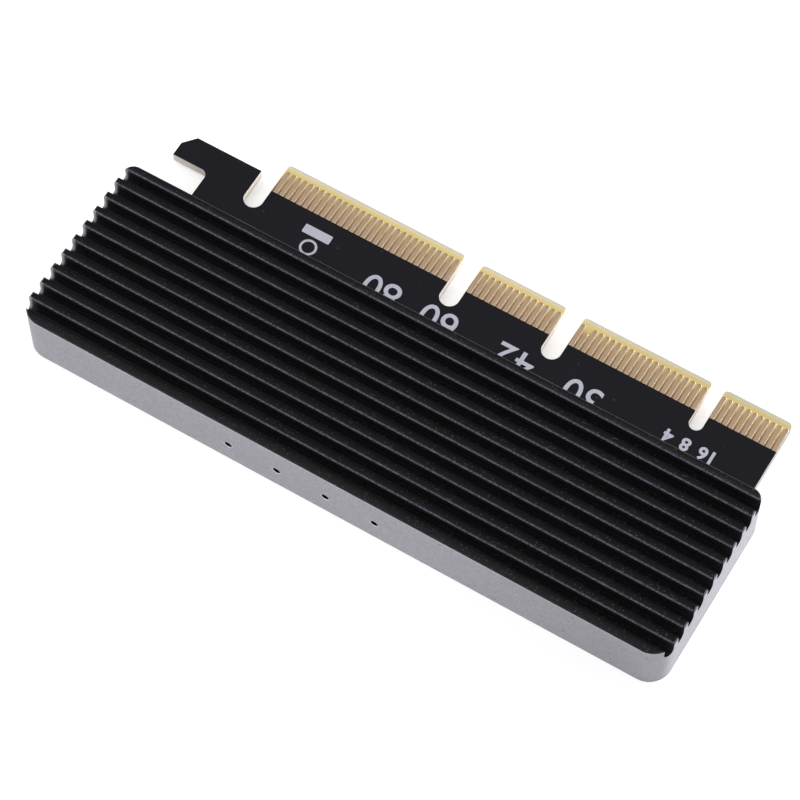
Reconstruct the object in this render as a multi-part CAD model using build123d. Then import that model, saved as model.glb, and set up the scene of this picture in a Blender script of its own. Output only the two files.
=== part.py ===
from build123d import *
import os

# Adapter card for one M.2 drive: a circuit board with a gold card edge, screwed from behind into a
# finned aluminium shell. It lies on the rim of the shell with the fins up.
# Sizes are in millimetres. X runs along the card, towards the end with contact 1. Y runs from the
# shell towards the gold edge. Z is up. The origin is on the table, under the middle of the card.

# Shell: one machined block, open underneath
shell_length = 104.7
shell_width = 29.4
shell_height = 9.8
front_corner_radius = 3.5
back_corner_radius = 1.8
shell_edge_break = 0.2
end_wall = 2.7
roof_thickness = 0.95
bay_corner_radius = 2.0
bay_side_gap = 0.75

# Fins: the grooves share what the ribs and fins leave of the width, and go down to the roof
front_rib = 1.5
back_rib = 1.3
fin_count = 9
fin_width = 1.14
fin_edge_break = 0.2

# Light holes in the front side of the shell, with a broken edge
light_hole_diameter = 1.05
light_hole_break = 0.15
light_hole_pitch = 8.0
light_hole_count = 4
light_hole_height = 4.2
light_hole_from_end = 45.5

# Board inside the shell
board_thickness = 1.6
board_recess = 0.75
board_fit = 0.2
neck_headroom = 0.1
socket_headroom = 0.9

# Card edge: depths are measured back from the gold edge
card_reach = 15.5
key_from_end = 14.8
bevel_run = 0.6
bevel_drop = 0.45
key_notch_width = 2.15
key_notch_depth = 8.3
lane_notch_width = 3.05
lane_notch_depth = 8.95
notch_shoulder_radius = 0.8
tab_start_radius = 1.0
tab_end_radius = 0.6

# Retention hook at the end of the card edge
hook_notch_width = 3.05
hook_notch_depth = 9.4
hook_stem = 6.65
hook_reach = 6.15
hook_top_depth = 3.25
hook_bottom_depth = 7.5
hook_chamfer_length = 1.7
hook_chamfer_depth = 1.95
hook_root_radius = 1.1

# Gold contacts: the counts of the runs from contact 1, and of those left out at the notches
run_counts = (11, 21, 14, 30)
left_out_counts = (2, 3, 3)
short_contact_count_b = 31
short_contact_count_a = 1
contact_pitch = 1.0
contact_width = 0.7
contact_thickness = 0.05
contact_setback = 1.35
short_contact_setback = 2.45
contact_end_depth = 5.5
tab_start_margin = 0.4
tab_end_margin = 0.65

# Case screws, from behind through the board into posts that hang from the roof
screw_diameter = 2.0
screw_hole_clearance = 0.1
thread_clearance = 0.05
screw_head_diameter = 3.8
screw_head_height = 0.6
cross_width = 0.5
cross_span = 2.0
cross_depth = 0.4
case_screw_length = 4.5
post_diameter = 3.6
post_inset = 2.3
post_bore_spare = 0.3

# Drive: 22 mm wide, held by a socket at one end and a screw at the other
drive_lengths = (30.0, 42.0, 60.0, 80.0)
drive_thickness = 0.8
drive_height = 1.5
drive_insertion = 4.2
drive_tail_room = 6.0
standoff_across_flats = 4.4
standoff_foot_diameter = 3.2
standoff_foot_depth = 1.2
standoff_fit = 0.05
drive_screw_length = 2.4

# Socket housing
socket_width = 21.9
socket_depth = 7.4
socket_height = 3.2
socket_from_end = 8.35
slot_end_wall = 0.95
slot_depth = 5.0
slot_clearance = 0.05
jaw_setback = 1.6
key_rib_width = 1.2
key_rib_offset = 6.125
key_rib_setback = 0.6
peg_diameters = (1.1, 1.6)
peg_spacing = 18.4
peg_depth = 1.2
peg_setback = 2.5
peg_clearance = 0.05

# Socket contacts: two rows, half a pitch apart, with four left out of each for the key
pin_pitch = 0.5
pin_width = 0.2
pin_thickness = 0.15
pin_foot = 0.7
pin_clearance = 0.05
pin_inset = 0.35
beam_depth = 0.2
rear_pin_count = 38
front_pin_count = 37
pin_count_before_key = 29
key_pin_count = 4

# Hold-down tabs at the ends of the socket
anchor_length = 1.6
anchor_foot = 0.7
anchor_height = 1.4
anchor_thickness = 0.2

# Silicone pad under the roof, shorter than the drive at both ends
pad_margin = 5.0
pad_width = 20.0
pad_thickness = 0.5

# Chips: length, width, height and end cap of each size
small_chip = (1.0, 0.5, 0.35, 0.25)
large_chip = (2.0, 1.25, 1.25, 0.4)
led_chip = (1.6, 0.8, 0.6, 0.3)
cap_wrap = 0.03
led_setback = 0.25
resistor_offset = 2.4
decoupling_count = 6
decoupling_pitch = 3.0
decoupling_setback = 3.6
pull_up_count = 4
pull_up_pitch = 3.0
pull_up_setback = 6.6
bulk_count = 4
bulk_pitch = 3.2
bulk_from_end = 2.2

# Every cut runs this far past the face that it breaks
overrun = 0.5

# Places that follow from the sizes
shell_front_y = -(shell_width + card_reach) / 2
shell_back_y = shell_front_y + shell_width
card_edge_y = shell_back_y + card_reach
bay_length = shell_length - 2 * end_wall
bay_width = socket_width + 2 * (anchor_foot + bay_side_gap)
side_wall = (shell_width - bay_width) / 2
bay_centre_y = (shell_front_y + shell_back_y) / 2
bay_ceiling_z = board_recess + board_thickness + socket_height + socket_headroom
groove_depth = shell_height - bay_ceiling_z - roof_thickness
groove_width = (shell_width - front_rib - back_rib - fin_count * fin_width) / (fin_count + 1)

board_length = bay_length - 2 * board_fit
board_width = bay_width - 2 * board_fit
board_corner_radius = bay_corner_radius - board_fit
board_front_y = bay_centre_y - board_width / 2
board_back_y = bay_centre_y + board_width / 2
board_bottom_z = board_recess
board_top_z = board_recess + board_thickness

key_x = shell_length / 2 - key_from_end
first_contact_x = key_x + (run_counts[0] - 1 + (left_out_counts[0] + 1) / 2) * contact_pitch
contact_steps = sum(run_counts) + sum(left_out_counts) - 1
tab_start_x = first_contact_x + tab_start_margin
tab_end_x = first_contact_x - contact_steps * contact_pitch - tab_end_margin
hook_notch_end_x = tab_end_x - hook_notch_width
neck_end_x = hook_notch_end_x - hook_stem
hook_tip_x = neck_end_x - hook_reach
hook_top_y = card_edge_y - hook_top_depth
hook_bottom_y = card_edge_y - hook_bottom_depth

screw_radius = screw_diameter / 2
bore_radius = screw_radius + thread_clearance
post_radius = post_diameter / 2
post_x = board_length / 2 - post_inset
post_y = board_width / 2 - post_inset

socket_rear_x = shell_length / 2 - socket_from_end
socket_mouth_x = socket_rear_x - socket_depth
drive_edge_x = socket_mouth_x + drive_insertion
drive_bottom_z = board_top_z + drive_height
slot_bottom_z = drive_bottom_z - slot_clearance
slot_top_z = drive_bottom_z + drive_thickness + slot_clearance
beam_top_z = slot_top_z + beam_depth + pin_thickness
slot_width = socket_width - 2 * slot_end_wall
led_y = board_front_y + led_setback + led_chip[1] / 2


def span(first_start, first_end, second_start, second_end):
    """Rectangle between two pairs of limits in a sketch's own two directions."""
    centre = Pos((first_start + first_end) / 2, (second_start + second_end) / 2)
    return centre * Rectangle(first_end - first_start, second_end - second_start)


def slab(sketch, bottom, top):
    """Upright prism of a plan outline between two heights."""
    return extrude(Pos(0, 0, bottom) * sketch, amount=top - bottom)


def side_prism(section, y, width):
    """Prism of an outline in X and Z, centred on y and as wide as stated."""
    plane = Plane(origin=(0, y, 0), x_dir=(1, 0, 0), z_dir=(0, -1, 0))
    return extrude(plane * section, amount=width / 2, both=True)


def cylinder(x, y, bottom, top, diameter):
    """Upright cylinder between two heights."""
    return slab(Pos(x, y) * Circle(diameter / 2), bottom, top)


def rounded_corner(sketch, x, y, radius):
    """The sketch with its corner at the stated place rounded off."""
    corner = sketch.vertices().sort_by_distance((x, y, 0))[0]
    return fillet(corner, radius)


# Places that repeat


def row(count, pitch):
    """Places of a centred row."""
    return [(index - (count - 1) / 2) * pitch for index in range(count)]


def contact_places():
    """X of each gold contact from contact 1, with the gaps of the notches."""
    places = []
    step = 0
    for run, left_out in zip(run_counts, left_out_counts + (0,)):
        places += [first_contact_x - (step + index) * contact_pitch for index in range(run)]
        step += run + left_out
    return places


def lane_notch_places():
    """X of the two lane notches, in the middle of their gaps."""
    places = contact_places()
    second_run = run_counts[0] + run_counts[1]
    third_run = second_run + run_counts[2]
    return [(places[last - 1] + places[last]) / 2 for last in (second_run, third_run)]


def light_hole_places():
    """X of each light hole, the first being the nearest to contact 1."""
    first = shell_length / 2 - light_hole_from_end
    return [first - index * light_hole_pitch for index in range(light_hole_count)]


def post_places():
    """Centres of the four screw posts."""
    return [(x, bay_centre_y + y) for x in (-post_x, post_x) for y in (-post_y, post_y)]


def fitting_drives():
    """Drive lengths that the bay has room for, shortest first."""
    room = drive_edge_x + bay_length / 2 - drive_tail_room
    return [length for length in drive_lengths if length <= room]


def standoff_places():
    """X of the standoff for each drive length."""
    return [drive_edge_x - length for length in fitting_drives()]


def pin_places(count):
    """Y of each socket contact in a row, in two groups with the key between them."""
    places = [bay_centre_y - y for y in row(count, pin_pitch)]
    return places[:pin_count_before_key], places[pin_count_before_key + key_pin_count :]


# Shell


def groove_section():
    """Section of a groove about Y = 0: round floor, straight walls and broken top edges."""
    half_width = groove_width / 2
    floor_centre_z = shell_height - groove_depth + half_width
    flare_z = shell_height - fin_edge_break
    top_z = shell_height + overrun
    top_half_width = half_width + fin_edge_break + overrun
    flare = Polygon(
        (-half_width, flare_z),
        (half_width, flare_z),
        (top_half_width, top_z),
        (-top_half_width, top_z),
        align=None,
    )
    floor = Pos(0, floor_centre_z) * Circle(half_width)
    return floor + span(-half_width, half_width, floor_centre_z, flare_z) + flare


def grooves():
    """The cutters of all grooves, side by side across the shell."""
    first_y = shell_front_y + front_rib + groove_width / 2
    section = groove_section()
    cutters = []
    for index in range(fin_count + 1):
        y = first_y + index * (groove_width + fin_width)
        cutters.append(extrude(Plane.YZ * Pos(y, 0) * section, shell_length / 2 + overrun, both=True))
    return cutters


def post(x, y):
    """A screw post, joined to the two bay walls beside it."""
    wall_x = (bay_length / 2 + overrun) * (1 if x > 0 else -1)
    wall_y = bay_centre_y + (bay_width / 2 + overrun) * (1 if y > bay_centre_y else -1)
    outline = Pos(x, y) * Circle(post_radius)
    outline += span(min(x, wall_x), max(x, wall_x), y - post_radius, y + post_radius)
    outline += span(x - post_radius, x + post_radius, min(y, wall_y), max(y, wall_y))
    return slab(outline, board_top_z, bay_ceiling_z + overrun)


def shell_outline():
    """Plan of the shell, with larger corners at the front than at the back."""
    outline = Pos(0, bay_centre_y) * Rectangle(shell_length, shell_width)
    for x in (-shell_length / 2, shell_length / 2):
        outline = rounded_corner(outline, x, shell_front_y, front_corner_radius)
        outline = rounded_corner(outline, x, shell_back_y, back_corner_radius)
    return outline


def light_hole_drills():
    """The drills of the light holes, each with the cone that breaks the edge."""
    radius = light_hole_diameter / 2
    drill = Cylinder(radius, side_wall + 2 * overrun)
    cone_height = light_hole_break + overrun
    cone = Pos(0, 0, side_wall / 2 - light_hole_break + cone_height / 2) * Cone(
        radius, radius + cone_height, cone_height
    )
    drill += cone
    turned = Rot(90, 0, 0) * drill
    return [Pos(x, shell_front_y + side_wall / 2, light_hole_height) * turned for x in light_hole_places()]


def heatsink_shell():
    """Finned block with a bay for the drive, four screw posts and a slot for the card edge."""
    shell = slab(shell_outline(), 0, shell_height)
    shell = chamfer(shell.edges().group_by(Axis.Z)[-1], shell_edge_break)
    bay = Pos(0, bay_centre_y) * RectangleRounded(bay_length, bay_width, bay_corner_radius)
    shell -= slab(bay, -overrun, bay_ceiling_z)
    shell -= grooves()
    shell += [post(x, y) for x, y in post_places()]
    bore_top_z = board_bottom_z + case_screw_length + post_bore_spare
    shell -= [cylinder(x, y, board_top_z - overrun, bore_top_z, 2 * bore_radius) for x, y in post_places()]
    neck = span(neck_end_x - board_fit, tab_start_x + board_fit, bay_centre_y, shell_back_y + overrun)
    shell -= slab(neck, -overrun, board_top_z + neck_headroom)
    return shell - light_hole_drills()


# Board


def notch(x, width, depth):
    """Round-bottomed notch in from the gold edge."""
    centre_y = card_edge_y - depth + width / 2
    slot = span(x - width / 2, x + width / 2, centre_y, card_edge_y + overrun)
    return slot + Pos(x, centre_y) * Circle(width / 2)


def hook():
    """Hook that the slot's latch holds, with its leading corner cut off."""
    return Polygon(
        (neck_end_x + overrun, hook_bottom_y),
        (neck_end_x + overrun, hook_top_y),
        (hook_tip_x + hook_chamfer_length, hook_top_y),
        (hook_tip_x, hook_top_y - hook_chamfer_depth),
        (hook_tip_x, hook_bottom_y),
        align=None,
    )


def board_outline():
    """Plan of the board: the part inside the shell, the neck, the card edge and the hook."""
    tab = span(neck_end_x, tab_start_x, board_back_y - board_corner_radius, card_edge_y)
    tab -= span(neck_end_x - overrun, tab_end_x, hook_top_y, card_edge_y + overrun)
    tab += hook()
    tab -= notch(tab_end_x - hook_notch_width / 2, hook_notch_width, hook_notch_depth)
    tab -= notch(key_x, key_notch_width, key_notch_depth)
    shoulders = [key_x - key_notch_width / 2, key_x + key_notch_width / 2]
    for x in lane_notch_places():
        tab -= notch(x, lane_notch_width, lane_notch_depth)
        shoulders += [x - lane_notch_width / 2, x + lane_notch_width / 2]
    for x in shoulders:
        tab = rounded_corner(tab, x, card_edge_y, notch_shoulder_radius)
    tab = rounded_corner(tab, tab_start_x, card_edge_y, tab_start_radius)
    tab = rounded_corner(tab, tab_end_x, card_edge_y, tab_end_radius)
    tab = rounded_corner(tab, neck_end_x, hook_bottom_y, hook_root_radius)
    inside = RectangleRounded(board_length, board_width, board_corner_radius)
    return tab + Pos(0, bay_centre_y) * inside


def bevelled_section():
    """Section of the board across the card, with both faces bevelled at the gold edge."""
    start_y = board_front_y - overrun
    bevel_y = card_edge_y - bevel_run
    return Polygon(
        (start_y, board_bottom_z),
        (bevel_y, board_bottom_z),
        (card_edge_y, board_bottom_z + bevel_drop),
        (card_edge_y, board_top_z - bevel_drop),
        (bevel_y, board_top_z),
        (start_y, board_top_z),
        align=None,
    )


def circuit_board():
    """Board with its bevelled edge and the holes for screws, standoffs and socket pegs."""
    board = slab(board_outline(), board_bottom_z, board_top_z)
    board &= extrude(Plane.YZ * bevelled_section(), shell_length / 2 + overrun, both=True)
    holes = [(x, y, screw_diameter + 2 * screw_hole_clearance) for x, y in post_places()]
    standoff_hole = standoff_foot_diameter + 2 * standoff_fit
    holes += [(x, bay_centre_y, standoff_hole) for x in standoff_places()]
    holes += [(x, y, diameter + 2 * peg_clearance) for x, y, diameter in peg_places()]
    for x, y, diameter in holes:
        board -= cylinder(x, y, board_bottom_z - overrun, board_top_z + overrun, diameter)
    return board


# Gold contacts


def gold_contact(x, setback, bottom_z):
    """One contact, from its tip back to the mask."""
    half_width = contact_width / 2
    outline = span(x - half_width, x + half_width, card_edge_y - contact_end_depth, card_edge_y - setback)
    return slab(outline, bottom_z, bottom_z + contact_thickness)


def edge_contacts(bottom_z, short_contact_count):
    """All contacts on one face of the card edge, one of them short."""
    contacts = []
    for count, x in enumerate(contact_places(), start=1):
        setback = short_contact_setback if count == short_contact_count else contact_setback
        contacts.append(gold_contact(x, setback, bottom_z))
    return Compound(children=contacts)


def edge_contacts_side_b():
    """Contacts on the face that carries the socket."""
    return edge_contacts(board_top_z, short_contact_count_b)


def edge_contacts_side_a():
    """Contacts on the other face."""
    return edge_contacts(board_bottom_z - contact_thickness, short_contact_count_a)


# Socket


def peg_places():
    """Place and diameter of the two pegs under the socket."""
    x = socket_rear_x - peg_setback
    offsets = row(len(peg_diameters), peg_spacing)
    return [(x, bay_centre_y + y, diameter) for y, diameter in zip(offsets, peg_diameters)]


def front_pin_section():
    """Strip with its foot under the mouth and its beam below the drive."""
    riser_x = socket_mouth_x + pin_inset
    beam_top = slot_bottom_z - beam_depth
    foot = span(socket_mouth_x - pin_foot, riser_x, board_top_z, board_top_z + pin_thickness)
    riser = span(riser_x, riser_x + pin_thickness, board_top_z, beam_top)
    beam = span(riser_x, drive_edge_x - pin_inset, beam_top - pin_thickness, beam_top)
    return foot + riser + beam


def rear_pin_section():
    """Strip with its foot behind the socket and its beam above the drive."""
    riser_x = socket_rear_x - pin_inset
    beam_bottom = slot_top_z + beam_depth
    foot = span(riser_x, socket_rear_x + pin_foot, board_top_z, board_top_z + pin_thickness)
    riser = span(riser_x - pin_thickness, riser_x, board_top_z, beam_top_z)
    beam = span(socket_mouth_x + jaw_setback + pin_inset, riser_x, beam_bottom, beam_top_z)
    return foot + riser + beam


def pin_row(section, count):
    """A row of the same strip."""
    before_key, after_key = pin_places(count)
    return Compound(children=[side_prism(section, y, pin_width) for y in before_key + after_key])


def drive_socket_front_contacts():
    """Socket contacts that touch the underside of the drive."""
    return pin_row(front_pin_section(), front_pin_count)


def drive_socket_rear_contacts():
    """Socket contacts that touch the top of the drive."""
    return pin_row(rear_pin_section(), rear_pin_count)


def pin_pockets(pin_section, mouth, count):
    """Cutters that clear a row of contacts and open it to the slot, one for each group."""
    cleared = offset(pin_section, pin_clearance, kind=Kind.INTERSECTION) + mouth
    pockets = []
    for places in pin_places(count):
        width = max(places) - min(places) + pin_width + 2 * pin_clearance
        pockets.append(side_prism(cleared, (max(places) + min(places)) / 2, width))
    return pockets


def front_pockets():
    """Pockets in the lower jaw, open upwards."""
    start_x = socket_mouth_x + pin_inset - pin_clearance
    end_x = drive_edge_x - pin_inset + pin_clearance
    beam_top = slot_bottom_z - beam_depth
    mouth = span(start_x, end_x, beam_top, slot_bottom_z + slot_clearance)
    return pin_pockets(front_pin_section(), mouth, front_pin_count)


def rear_pockets():
    """Pockets in the upper jaw, open downwards."""
    start_x = socket_mouth_x + jaw_setback + pin_inset - pin_clearance
    end_x = socket_mouth_x + slot_depth
    mouth = span(start_x, end_x, slot_top_z - slot_clearance, slot_top_z + beam_depth)
    return pin_pockets(rear_pin_section(), mouth, rear_pin_count)


def drive_socket_body():
    """Moulded housing: a slot with a set-back upper jaw, a key rib, pockets and two pegs."""
    top_z = board_top_z + socket_height
    outline = span(socket_mouth_x, socket_rear_x, board_top_z, top_z)
    body = side_prism(outline, bay_centre_y, socket_width)
    start_x = socket_mouth_x - overrun
    slot = span(start_x, socket_mouth_x + slot_depth, slot_bottom_z, slot_top_z)
    slot += span(start_x, socket_mouth_x + jaw_setback, slot_bottom_z, top_z + overrun)
    body -= side_prism(slot, bay_centre_y, slot_width)
    rib_start_x = socket_mouth_x + key_rib_setback
    rib = span(rib_start_x, socket_mouth_x + slot_depth, slot_bottom_z, slot_top_z)
    body += side_prism(rib, bay_centre_y - key_rib_offset, key_rib_width)
    body -= front_pockets() + rear_pockets()
    pegs = [cylinder(x, y, board_top_z - peg_depth, board_top_z, size) for x, y, size in peg_places()]
    return body + pegs


def anchor(side):
    """Bent tab at one end of the socket, side being 1 or -1 along Y."""
    wall_y = side * socket_width / 2
    foot_y = wall_y + side * anchor_foot
    face_y = wall_y + side * anchor_thickness
    foot = span(min(wall_y, foot_y), max(wall_y, foot_y), board_top_z, board_top_z + anchor_thickness)
    upright = span(min(wall_y, face_y), max(wall_y, face_y), board_top_z, board_top_z + anchor_height)
    plane = Plane.YZ.offset((socket_mouth_x + socket_rear_x) / 2)
    return extrude(plane * Pos(bay_centre_y, 0) * (foot + upright), anchor_length / 2, both=True)


def drive_socket_anchors():
    """The tabs that hold the socket down."""
    return Compound(children=[anchor(-1), anchor(1)])


# Drive fastening


def standoff(x):
    """Six-sided nut with a foot in the board and a threaded hole right through."""
    flats = RegularPolygon(standoff_across_flats / 2, 6, major_radius=False)
    body = slab(Pos(x, bay_centre_y) * flats, board_top_z, drive_bottom_z)
    foot_z = board_top_z - standoff_foot_depth
    body += cylinder(x, bay_centre_y, foot_z, board_top_z, standoff_foot_diameter)
    return body - cylinder(x, bay_centre_y, foot_z - overrun, drive_bottom_z + overrun, 2 * bore_radius)


def drive_standoffs():
    """One standoff for each drive length."""
    return Compound(children=[standoff(x) for x in standoff_places()])


def pan_screw(length):
    """Pan-head screw, head up, with the underside of its head at the origin."""
    head = cylinder(0, 0, 0, screw_head_height, screw_head_diameter)
    cross = Rectangle(cross_span, cross_width) + Rectangle(cross_width, cross_span)
    head -= slab(cross, screw_head_height - cross_depth, screw_head_height + overrun)
    return head + cylinder(0, 0, -length, 0, screw_diameter)


def drive_screw():
    """The screw of the longest drive, kept in its standoff."""
    return Pos(standoff_places()[-1], bay_centre_y, drive_bottom_z) * pan_screw(drive_screw_length)


def case_screws():
    """Four screws, heads down, that hold the board in the shell."""
    turned = Rot(180, 0, 0) * pan_screw(case_screw_length)
    return Compound(children=[Pos(x, y, board_bottom_z) * turned for x, y in post_places()])


# Pad and chips


def thermal_pad():
    """Pad on the roof of the bay, over the longest drive."""
    start_x = drive_edge_x - fitting_drives()[-1] + pad_margin
    outline = span(start_x, drive_edge_x - pad_margin, -pad_width / 2, pad_width / 2)
    return slab(Pos(0, bay_centre_y) * outline, bay_ceiling_z - pad_thickness, bay_ceiling_z)


def chip(size):
    """Chip on the board top at X = Y = 0, its length along X and its caps proud of the body."""
    length, width, height, cap = size
    core = Rectangle(length - 2 * cap, width - 2 * cap_wrap)
    ends = Pos(cap / 2 - length / 2, 0) * Rectangle(cap, width)
    ends += Pos(length / 2 - cap / 2, 0) * Rectangle(cap, width)
    body = slab(core, board_top_z, board_top_z + height - cap_wrap)
    return body + slab(ends, board_top_z, board_top_z + height)


def chips(size, places, turn=0):
    """Like chips at a list of places, turned about Z."""
    return Compound(children=[Pos(x, y) * Rot(0, 0, turn) * chip(size) for x, y in places])


def status_leds():
    """A light behind each light hole."""
    return chips(led_chip, [(x, led_y) for x in light_hole_places()])


def led_resistors():
    """A resistor beside each light."""
    return chips(small_chip, [(x + resistor_offset, led_y) for x in light_hole_places()])


def decoupling_capacitors():
    """Row of small capacitors in front of the socket."""
    x = socket_mouth_x - decoupling_setback
    places = [(x, bay_centre_y + y) for y in row(decoupling_count, decoupling_pitch)]
    return chips(small_chip, places)


def pull_up_resistors():
    """Row of small resistors beyond the capacitors."""
    x = socket_mouth_x - pull_up_setback
    places = [(x, bay_centre_y + y) for y in row(pull_up_count, pull_up_pitch)]
    return chips(small_chip, places)


def bulk_capacitors():
    """Row of larger capacitors behind the socket."""
    x = board_length / 2 - bulk_from_end
    places = [(x, bay_centre_y + y) for y in row(bulk_count, bulk_pitch)]
    return chips(large_chip, places, turn=90)


def main():
    """Writes one file for each piece."""
    pieces = (
        heatsink_shell,
        circuit_board,
        edge_contacts_side_b,
        edge_contacts_side_a,
        drive_socket_body,
        drive_socket_front_contacts,
        drive_socket_rear_contacts,
        drive_socket_anchors,
        drive_standoffs,
        drive_screw,
        case_screws,
        thermal_pad,
        status_leds,
        led_resistors,
        decoupling_capacitors,
        pull_up_resistors,
        bulk_capacitors,
    )
    os.makedirs("parts", exist_ok=True)
    for piece in pieces:
        export_step(piece(), f"parts/{piece.__name__}.step")


main()
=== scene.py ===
import logging
import math
from dataclasses import dataclass
from enum import Enum
from functools import partial, reduce
from typing import Callable, NamedTuple, Union

import bmesh
import bpy
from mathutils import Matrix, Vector


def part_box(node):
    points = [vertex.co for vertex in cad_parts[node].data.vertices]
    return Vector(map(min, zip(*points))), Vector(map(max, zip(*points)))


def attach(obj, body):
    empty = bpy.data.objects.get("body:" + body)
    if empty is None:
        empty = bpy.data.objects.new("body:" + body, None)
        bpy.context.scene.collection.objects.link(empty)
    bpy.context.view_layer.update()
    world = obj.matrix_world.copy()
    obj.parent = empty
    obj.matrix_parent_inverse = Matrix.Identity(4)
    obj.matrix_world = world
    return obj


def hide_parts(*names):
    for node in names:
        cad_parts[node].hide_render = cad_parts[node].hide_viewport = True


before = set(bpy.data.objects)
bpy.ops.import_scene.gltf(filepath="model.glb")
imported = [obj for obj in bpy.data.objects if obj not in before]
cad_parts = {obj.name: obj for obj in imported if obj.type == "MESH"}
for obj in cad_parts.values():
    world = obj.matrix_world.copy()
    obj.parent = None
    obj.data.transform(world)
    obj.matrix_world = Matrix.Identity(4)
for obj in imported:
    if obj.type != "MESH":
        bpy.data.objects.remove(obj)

# Looks of an adapter card: black anodised aluminium, its sides painted light grey as a painted reflection,
# over a black circuit board with a gold edge.
# Everything is in metres in the frame of the imported model. Sizes in the materials are in millimetres,
# because their coordinates are scaled to millimetres first.

MM = 0.001
LOG = logging.getLogger("adapter_card")

Node = bpy.types.Node
Socket = bpy.types.NodeSocket
Material = bpy.types.Material
Piece = bpy.types.Object
Given = bpy.types.bpy_prop_collection
Pair = tuple[float, float]
Triple = tuple[float, float, float]
Value = Union[float, Socket]
Paint = Union[Triple, Socket]
Span = tuple[Socket, float, float]
Mask = Union[Value, Span]


class Face(Enum):
    """The two faces of the circuit board, with the way each one looks along Z."""

    TOP = 1
    REAR = -1


class Grain(NamedTuple):
    """What a fine grain puts out: its height from 0 to 1, and a tone about 1."""

    height: Socket
    tone: Socket


# Node trees


class NodeSheet:
    """A node tree that is filled in step by step."""

    def __init__(self, tree: bpy.types.NodeTree) -> None:
        """Empties a tree and keeps it.

        Args:
            tree: The node tree of a material, a group or the world.
        """
        self.tree = tree
        tree.nodes.clear()

    def add(self, kind: str, **settings: object) -> Node:
        """Adds a node.

        Args:
            kind: Blender's name of the node's type.
            settings: Properties of the node, by name.

        Returns:
            The new node.
        """
        node = self.tree.nodes.new(kind)
        for name, setting in settings.items():
            setattr(node, name, setting)
        return node

    def feed(self, source: Union[Value, Paint], socket: Socket) -> None:
        """Links a socket to another one, or sets its constant.

        Args:
            source: An output socket, a number or a colour.
            socket: The input that takes it.
        """
        if isinstance(source, Socket):
            self.tree.links.new(source, socket)
        elif socket.type == "RGBA" and not isinstance(source, float):
            socket.default_value = (*source, 1.0)
        else:
            socket.default_value = source

    def feed_inputs(self, node: Node, **sources: Union[Value, Paint]) -> Node:
        """Feeds several inputs of a node.

        Args:
            node: The node.
            sources: What each input takes, by its name in small letters with _ for a space.

        Returns:
            The node.
        """
        inputs = {socket.name.lower().replace(" ", "_"): socket for socket in node.inputs}
        for name, source in sources.items():
            self.feed(source, inputs[name])
        return node

    def math(self, operation: str, *values: Union[Value, Paint], kind: str = "ShaderNodeMath") -> Socket:
        """Adds a node that calculates.

        Args:
            operation: Blender's name of what it does.
            values: What it works on, in order.
            kind: Blender's name of the node's type.

        Returns:
            The result.
        """
        node = self.add(kind, operation=operation)
        for value, socket in zip(values, node.inputs):
            self.feed(value, socket)
        return node.outputs[0]

    def mask(self, mask: Mask) -> Value:
        """Returns a mask as it is, and a span of a value as its step."""
        return self.step(*mask) if isinstance(mask, tuple) else mask

    def both(self, *masks: Mask) -> Socket:
        """Returns the product of several masks."""
        return reduce(partial(self.math, "MULTIPLY"), map(self.mask, masks))

    def either(self, *masks: Mask) -> Socket:
        """Returns the highest of several masks."""
        return reduce(partial(self.math, "MAXIMUM"), map(self.mask, masks))

    def length(self, first: Value, second: Value) -> Socket:
        """Returns the length of a way whose two legs are square to each other."""
        return self.math("SQRT", self.math("ADD", self.both(first, first), self.both(second, second)))

    def step(self, value: Value, low: float, high: float) -> Socket:
        """Adds a smooth step.

        Args:
            value: What it reads.
            low: Where it gives 0.
            high: Where it gives 1, which may be below the other.

        Returns:
            The step, from 0 to 1.
        """
        node = self.add("ShaderNodeMapRange", interpolation_type="SMOOTHSTEP")
        ends = (low, high, 0.0, 1.0) if low < high else (high, low, 1.0, 0.0)
        for source, socket in zip((value, *ends), node.inputs):
            self.feed(source, socket)
        return node.outputs[0]

    def band(self, value: Value, low: float, high: float, soft: float) -> Socket:
        """Returns a mask that is 1 between two values, with soft edges outside them."""
        return self.both(self.step(value, low - soft, low), self.step(value, high + soft, high))

    def mix(self, data_type: str, suffix: str, *sources: Union[Value, Paint]) -> Socket:
        """Adds a Mix node.

        Args:
            data_type: Blender's name of what it mixes.
            suffix: How the identifiers of its sockets end.
            sources: The mask, and what it gives where the mask is 0 and where it is 1.

        Returns:
            The mixture.
        """
        node = self.add("ShaderNodeMix", data_type=data_type)
        inputs = {socket.identifier: socket for socket in node.inputs}
        for source, name in zip(sources, ("Factor_Float", f"A_{suffix}", f"B_{suffix}")):
            self.feed(source, inputs[name])
        return next(socket for socket in node.outputs if socket.identifier == f"Result_{suffix}")

    def blend(self, mask: Mask, first: Paint, second: Paint) -> Socket:
        """Returns the first colour where the mask is 0 and the second where it is 1."""
        return self.mix("RGBA", "Color", self.mask(mask), first, second)

    def level(self, mask: Mask, first: Value, second: Value) -> Socket:
        """Returns the first number where the mask is 0 and the second where it is 1."""
        return self.mix("FLOAT", "Float", self.mask(mask), first, second)

    def ramp(self, place: Value, stops: tuple[tuple[float, Triple], ...]) -> Socket:
        """Runs from colour to colour along a place.

        Args:
            place: The place.
            stops: Each colour with the place where it is reached.

        Returns:
            The colour.
        """
        colour: Paint = stops[0][1]
        for (start, _), (end, paint) in zip(stops, stops[1:]):
            colour = self.blend(self.step(place, start, end), colour, paint)
        return colour

    def tint(self, paint: Paint, tone: Value) -> Socket:
        """Multiplies a colour, or any vector, by a number.

        Args:
            paint: The colour.
            tone: The number.

        Returns:
            The product.
        """
        node = self.add("ShaderNodeVectorMath", operation="SCALE")
        self.feed(paint, node.inputs[0])
        self.feed(tone, node.inputs["Scale"])
        return node.outputs[0]

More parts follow.
